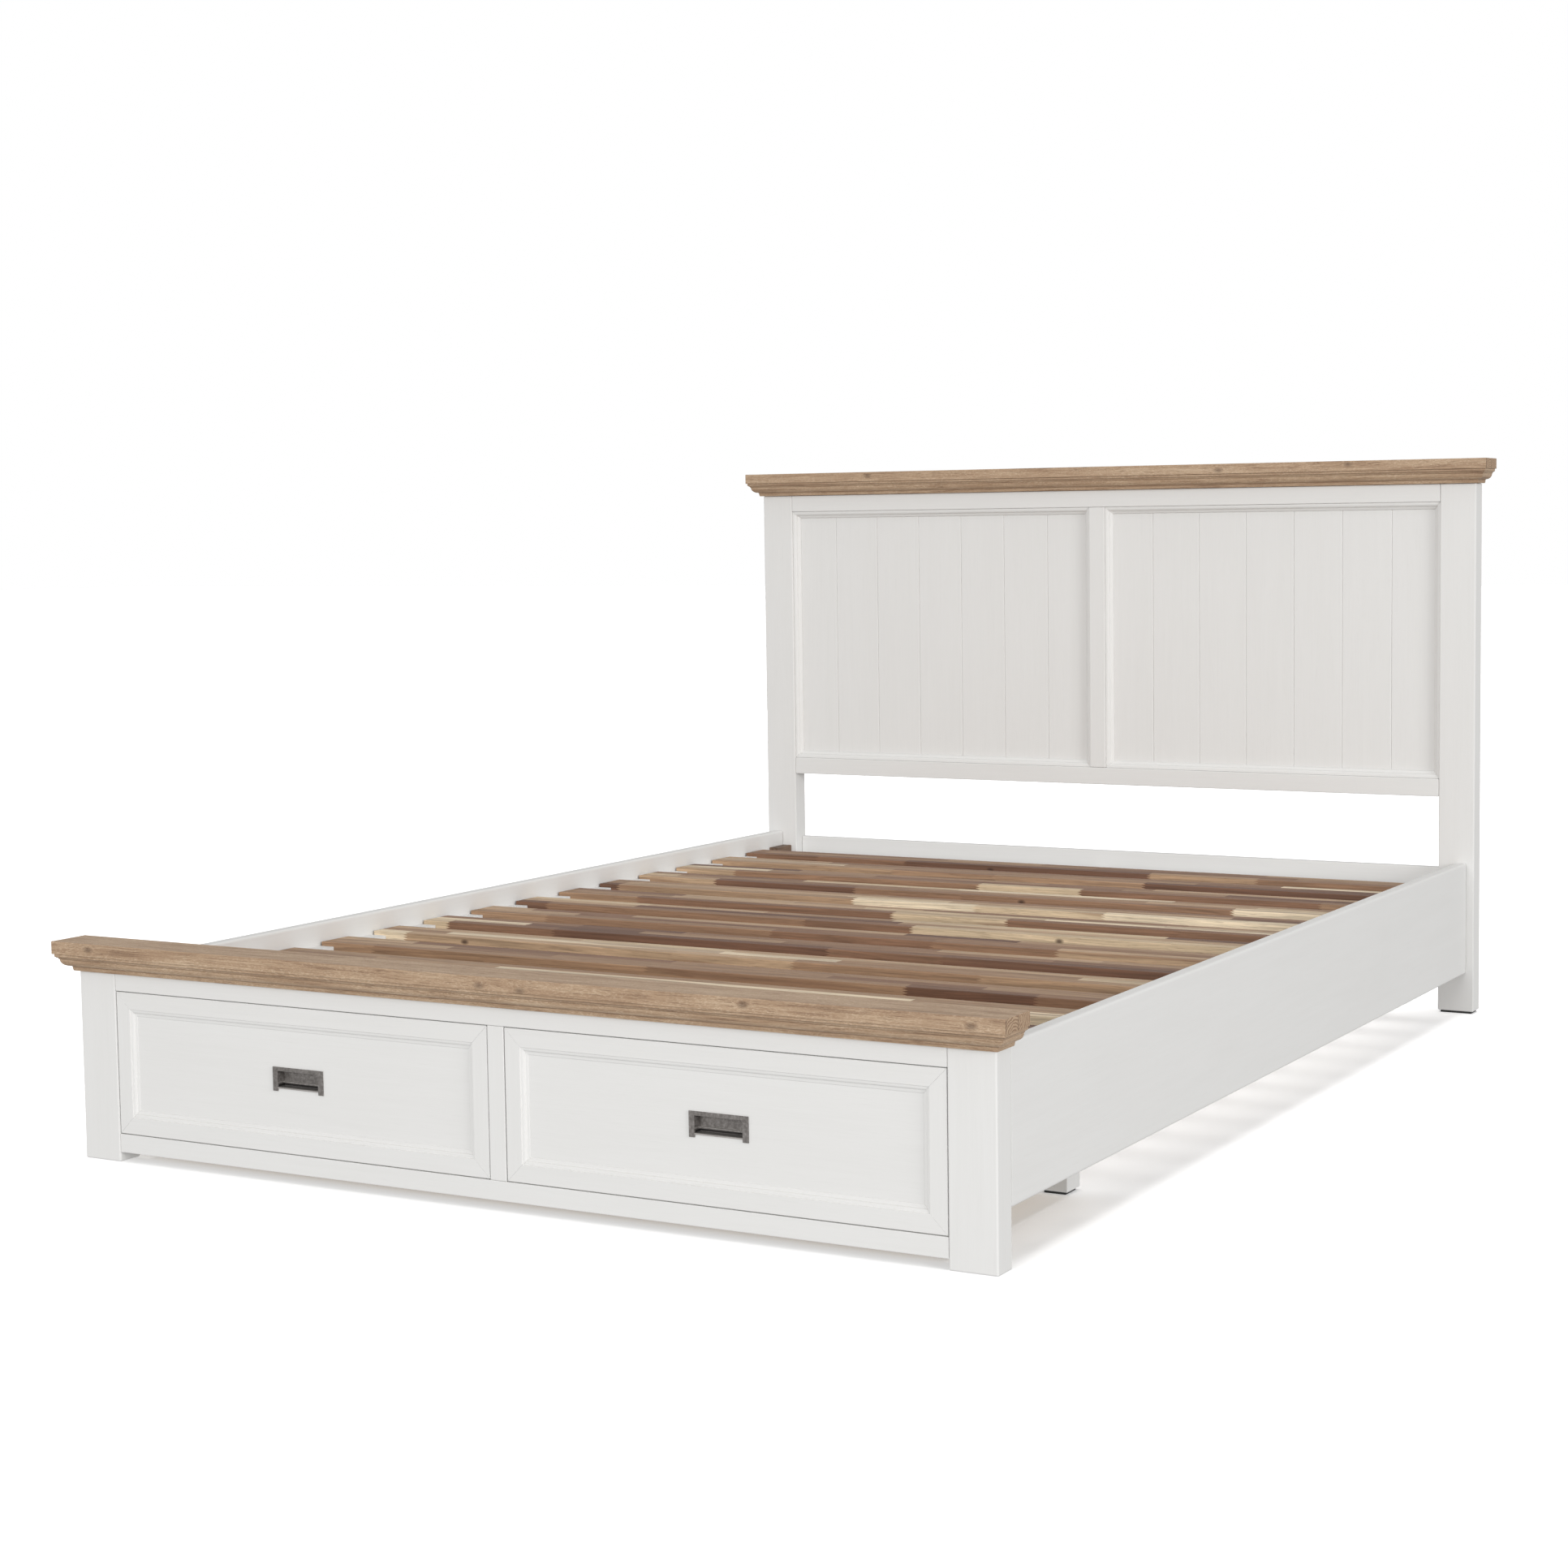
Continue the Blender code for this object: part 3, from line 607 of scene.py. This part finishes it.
def bead_outline(depth):
    outline = [(0.0, depth), (0.0, 0.0), (0.0022, 0.0)]
    for k in range(1, 5):
        turn = k / 4 * pi / 2
        outline.append((0.0022 + 0.0058 * sin(turn), 0.0050 * (1 - cos(turn))))
    return [*outline, (0.0086, 0.0068), (BEAD_WIDTH - 0.0010, 0.0095), (BEAD_WIDTH, depth)]


def build_beads():
    for side in SIDES:
        node = "headboard_bead_" + side
        low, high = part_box(node)
        pieces = mitred_frame(node, low, high, low[1], bead_outline(high[1] - low[1]), 0.0004)
        adopt(pieces, "frame", "white_paint", node)


# ---------------------------------------------------------------- drawers
def border_outline(depth):
    """A drawer front's border: flat face, then a moulding in two steps down to the field."""
    frame_in = DRAWER_FRAME + FRONT_FULL
    outline = [(0.0, depth), (0.0, 0.0008), (0.0008, 0.0), (frame_in, 0.0), (frame_in + 0.0006, 0.0016)]
    for k in range(5):
        turn = k / 4 * pi / 2
        outline.append((frame_in + 0.0012 + 0.0042 * sin(turn), 0.0016 + 0.0018 * (1 - cos(turn))))
    outline += [(frame_in + 0.0060, 0.0048), (frame_in + 0.0104, 0.0054)]
    return [*outline, (frame_in + FRONT_MOULDING, DRAWER_DISH), (frame_in + FRONT_MOULDING, depth)]


def build_drawer_front(side):
    node = side + "_drawer_front"
    low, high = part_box(node)
    low = (low[0] - FRONT_FULL, low[1], low[2] - FRONT_FULL)
    high = (high[0] + FRONT_FULL, high[1], high[2] + FRONT_FULL)
    depth = high[1] - low[1]
    pieces = mitred_frame(node, low, high, low[1], border_outline(depth), 0.0003)
    inset = DRAWER_FRAME + FRONT_FULL + FRONT_MOULDING
    pull_low, pull_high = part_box(side + "_drawer_pull")
    middle = [(a + b) / 2 for a, b in zip(pull_low, pull_high)]
    hole_x = POCKET_HALF + POCKET_WALL + 0.0005
    hole_z = POCKET_HIGH / 2 + POCKET_WALL + 0.0005
    field = low[1] + DRAWER_DISH
    outer = (low[0] + inset, high[0] - inset, low[2] + inset, high[2] - inset)
    hole = (middle[0] - hole_x, middle[0] + hole_x, middle[2] - hole_z, middle[2] + hole_z)
    loops = [upright_loop(*outer, high[1]), upright_loop(*outer, field)]
    loops += [upright_loop(*hole, field), upright_loop(*hole, high[1])]
    pieces.append(tunnel(node + "_field", loops, PAINT["x"], True))
    adopt(pieces, side + "_drawer", "white_paint", node)


def merge(base, tools, operation="UNION"):
    """Joins or cuts with other meshes, which are then removed."""
    for tool in tools:
        step = base.modifiers.new("shape", "BOOLEAN")
        step.operation = operation
        step.object = tool
        with bpy.context.temp_override(object=base, active_object=base, selected_objects=[base]):
            bpy.ops.object.modifier_apply(modifier=step.name)
        bpy.data.objects.remove(tool, do_unlink=True)


def build_pull(side):
    """A cast pull: a band and two side legs, a low bar, and a pocket with a ridge."""
    node = side + "_drawer_pull"
    low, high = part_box(node)
    back = low[1] + PLATE_THICK
    mid_x = (low[0] + high[0]) / 2
    mid_z = (low[2] + high[2]) / 2
    left, right = mid_x - POCKET_HALF, mid_x + POCKET_HALF
    floor, roof = mid_z - POCKET_HIGH / 2, mid_z + POCKET_HIGH / 2
    wall = POCKET_WALL
    loops = [
        upright_loop(left - wall, right + wall, floor - wall, roof + wall, high[1]),
        upright_loop(left - wall, right + wall, floor - wall, roof + wall, low[1] + 0.0006),
        upright_loop(left, right, floor, roof, low[1] + 0.0006),
        upright_loop(left, right, floor, roof, high[1] - wall),
    ]
    pull = tunnel(node + "_cast", loops, PEWTER, False)
    band = block(node + "_band", (low[0], low[1], roof), (high[0], back, high[2]), [PEWTER])
    legs = [
        block(node + "_leg_a", (low[0], low[1], low[2]), (left, back, roof + 0.001), [PEWTER]),
        block(node + "_leg_b", (right, low[1], low[2]), (high[0], back, roof + 0.001), [PEWTER]),
    ]
    bar_low = (left - 0.001, low[1] + 0.0003, floor - BAR_DROP)
    bar = block(node + "_bar", bar_low, (right + 0.001, back, floor + 0.0002), [PEWTER])
    ridge_low = (left - wall / 2, high[1] - wall - RIDGE_REACH, floor + RIDGE_LOW)
    ridge_high = (right + wall / 2, high[1] - wall / 2, floor + RIDGE_HIGH)
    ridge = block(node + "_ridge", ridge_low, ridge_high, [PEWTER])
    merge(pull, [band, *legs, bar, ridge])
    soften(pull, PULL_SOFTNESS, 3, 30)
    adopt([pull], side + "_drawer", "pewter", node)


# ---------------------------------------------------------------- materials on the CAD nodes
def dress(names, material):
    for name in names:
        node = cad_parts[name]
        node.data.materials.clear()
        node.data.materials.append(material)


def dress_frame():
    uprights = ["headboard_mid_stile", "foot_mid_stile", "centre_leg"]
    for stem in ("headboard_post_", "headboard_panel_", "foot_post_", "drawer_leg_"):
        uprights += [stem + side for side in SIDES]
    dress(uprights, PAINT["z"])
    across = ["headboard_top_rail", "headboard_lower_rail", "headboard_cross_rail", "foot_top_rail"]
    dress([*across, "foot_bottom_rail"], PAINT["x"])
    lengthwise = [stem + side for stem in ("side_rail_", "slat_cleat_") for side in SIDES]
    dress([*lengthwise, "centre_beam"], PAINT["y"])
    for seed, slat in enumerate(SLATS):
        dress([slat], staved_wood(slat + "_wood", *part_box(slat), seed))
    dress(["corner_block_left", "corner_block_right"], BLOCK_WOOD)
    dress([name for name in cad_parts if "glide" in name], PLASTIC)
    dress(["drawer_shelf"], BOX_WOOD_X)
    for side in SIDES:
        dress([side + "_drawer_back", side + "_drawer_bottom"], BOX_WOOD_X)
        dress([side + "_drawer_inner_side", side + "_drawer_outer_side"], BOX_WOOD_Y)


# ---------------------------------------------------------------- light, floor and camera
def build_floor():
    size = 40.0
    points = [(-size, -size, 0), (size, -size, 0), (size, size, 0), (-size, size, 0)]
    s = Shader("pale_floor")
    glow = {"Emission_Color": (1, 1, 1, 1), "Emission_Strength": FLOOR_GLOW}
    s.finish(FLOOR_WHITE, 0.9, Specular_IOR_Level=0.0, **glow)
    floor = add_piece("floor", points, [(0, 1, 2, 3)], [s.material])
    floor.visible_diffuse = False
    floor.visible_glossy = False
    return floor


def place_light(lamp, place, aim):
    light = bpy.data.objects.new(lamp.name, lamp)
    light.location = place
    light.rotation_euler = (Vector(aim) - Vector(place)).to_track_quat("-Z", "Y").to_euler()
    bpy.context.scene.collection.objects.link(light)
    return light


def add_softbox(name, place, aim, size, power):
    lamp = bpy.data.lights.new(name, "AREA")
    lamp.shape = "RECTANGLE"
    lamp.size = size[0]
    lamp.size_y = size[1]
    lamp.energy = power
    return place_light(lamp, place, aim)


def add_floor_wash(floor):
    """A wide overhead light that falls on the floor alone, so that it stays white."""
    lamp = bpy.data.lights.new("floor_wash", "SUN")
    lamp.angle = radians(WASH_ANGLE)
    lamp.energy = FLOOR_WASH
    light = place_light(lamp, (0.0, 0.0, 5.0), (0.0, 0.0, 0.0))
    lit = bpy.data.collections.new("floor_only")
    lit.objects.link(floor)
    light.light_linking.receiver_collection = lit


def build_world():
    """White to the camera; to other rays a fill that is stronger from above than from below."""
    world = bpy.data.worlds.new("studio")
    bpy.context.scene.world = world
    world.use_nodes = True
    tree = world.node_tree
    tree.nodes.clear()
    output = tree.nodes.new("ShaderNodeOutputWorld")
    switch = tree.nodes.new("ShaderNodeMixShader")
    rays = tree.nodes.new("ShaderNodeLightPath")
    fill = tree.nodes.new("ShaderNodeBackground")
    seen = tree.nodes.new("ShaderNodeBackground")
    fill.inputs["Color"].default_value = (1, 1, 1, 1)
    direction = tree.nodes.new("ShaderNodeTexCoord")
    height = tree.nodes.new("ShaderNodeSeparateXYZ")
    strength = tree.nodes.new("ShaderNodeMapRange")
    for place, value in enumerate((-FILL_BLEND, FILL_BLEND, FILL_FROM_BELOW, FILL_FROM_ABOVE), 1):
        strength.inputs[place].default_value = value
    tree.links.new(direction.outputs["Generated"], height.inputs[0])
    tree.links.new(height.outputs[2], strength.inputs[0])
    tree.links.new(strength.outputs[0], fill.inputs["Strength"])
    seen.inputs["Color"].default_value = (1, 1, 1, 1)
    seen.inputs["Strength"].default_value = 1.0
    tree.links.new(rays.outputs["Is Camera Ray"], switch.inputs[0])
    tree.links.new(fill.outputs[0], switch.inputs[1])
    tree.links.new(seen.outputs[0], switch.inputs[2])
    tree.links.new(switch.outputs[0], output.inputs[0])


def build_light(floor):
    """Softboxes round the bed; the one behind it leaves no shine on the slats."""
    build_world()
    softboxes = {name: add_softbox(name, *details) for name, details in SOFTBOXES.items()}
    softboxes["back"].visible_glossy = False
    add_floor_wash(floor)


def build_camera():
    yaw, pitch, roll = (radians(turn) for turn in CAMERA_TURN)
    ahead = Vector((-sin(yaw) * cos(pitch), cos(yaw) * cos(pitch), sin(pitch)))
    level = Vector((cos(yaw), sin(yaw), 0.0))
    above = level.cross(ahead)
    right = level * cos(roll) + above * sin(roll)
    up = above * cos(roll) - level * sin(roll)
    lens = bpy.data.cameras.new("camera")
    lens.lens = CAMERA_LENS
    lens.sensor_width = 36.0
    lens.shift_x, lens.shift_y = CAMERA_SHIFT
    lens.clip_end = 100.0
    camera = bpy.data.objects.new("camera", lens)
    bpy.context.scene.collection.objects.link(camera)
    turn = Matrix((right, up, -ahead)).transposed()
    camera.matrix_world = Matrix.Translation(CAMERA_PLACE) @ turn.to_4x4()
    bpy.context.scene.camera = camera
    bpy.context.scene.view_settings.view_transform = "Standard"


dress_frame()
build_cap("foot_cap", FOOT_KNOTS)
build_cap("headboard_cap", HEAD_KNOTS)
build_panels()
build_beads()
for drawer_side in SIDES:
    build_drawer_front(drawer_side)
    build_pull(drawer_side)
build_light(build_floor())
build_camera()
